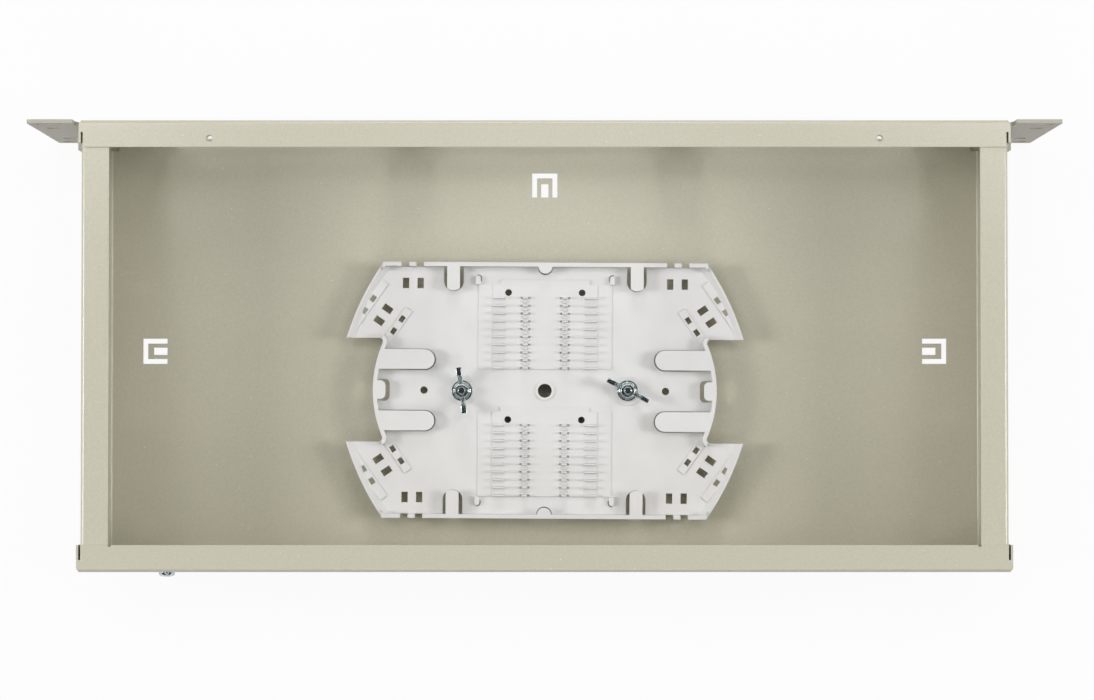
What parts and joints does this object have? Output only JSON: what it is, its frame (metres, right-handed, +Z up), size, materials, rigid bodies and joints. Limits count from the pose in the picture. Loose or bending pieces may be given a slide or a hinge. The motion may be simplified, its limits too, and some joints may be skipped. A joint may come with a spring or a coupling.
{
  "type": "fibre patch panel",
  "caption": "Open rack-mount fibre patch panel: folded steel box with rack ears, adapter plate windows and a white moulded splice tray held by wing nuts.",
  "frame": {"origin": "centre of the four ear slots, on the plane where the ears meet the rack rails", "axes": "+X along the panel to the right seen from the front, +Y from the front to the rear, +Z up"},
  "size_m": [0.4826, 0.2143, 0.088],
  "materials": {
    "coated_sheet": "fine-textured pebble grey powder coat",
    "white_moulding": "matt moulded white",
    "zinc_steel": "bright zinc plate",
    "grommet_rubber": "matt black"
  },
  "bodies": {
    "case": {"chassis_base": "coated_sheet", "front_panel": "coated_sheet", "rear_panel": "coated_sheet", "rack_ear_left": "coated_sheet", "rack_ear_right": "coated_sheet", "ear_screws": "zinc_steel", "ear_nuts": "zinc_steel", "earth_screw": "zinc_steel", "earth_washer": "zinc_steel", "earth_nut": "zinc_steel", "cable_grommet_left": "grommet_rubber", "cable_grommet_right": "grommet_rubber", "splice_tray": "white_moulding", "sleeve_holder_front": "white_moulding", "sleeve_holder_rear": "white_moulding", "tray_stud_left": "zinc_steel", "tray_stud_right": "zinc_steel", "tray_spacer_left": "white_moulding", "tray_spacer_right": "white_moulding"},
    "washer_left": {"tray_washer_left": "zinc_steel"},
    "nut_left": {"wing_nut_left": "zinc_steel"},
    "washer_right": {"tray_washer_right": "zinc_steel"},
    "nut_right": {"wing_nut_right": "zinc_steel"}
  },
  "joints": [
    {"name": "washer_left_lift", "type": "slide", "parent": "case", "child": "washer_left", "axis": [0, 0, 1], "range_m": [0, 0.00761]},
    {"name": "wing_nut_left_turn", "type": "hinge", "parent": "washer_left", "child": "nut_left", "pos_m": [-0.04065, 0.1234, -0.0296], "axis": [0, 0, 1], "range_deg": [0, 3908.6]},
    {"name": "washer_right_lift", "type": "slide", "parent": "case", "child": "washer_right", "axis": [0, 0, 1], "range_m": [0, 0.00761]},
    {"name": "wing_nut_right_turn", "type": "hinge", "parent": "washer_right", "child": "nut_right", "pos_m": [0.04065, 0.1234, -0.0296], "axis": [0, 0, 1], "range_deg": [0, 3908.6]}
  ],
  "couplings": [
    {"joint": "washer_left_lift", "follows": "wing_nut_left_turn", "m_per_rad": 0.00011141},
    {"joint": "washer_right_lift", "follows": "wing_nut_right_turn", "m_per_rad": 0.00011141}
  ]
}
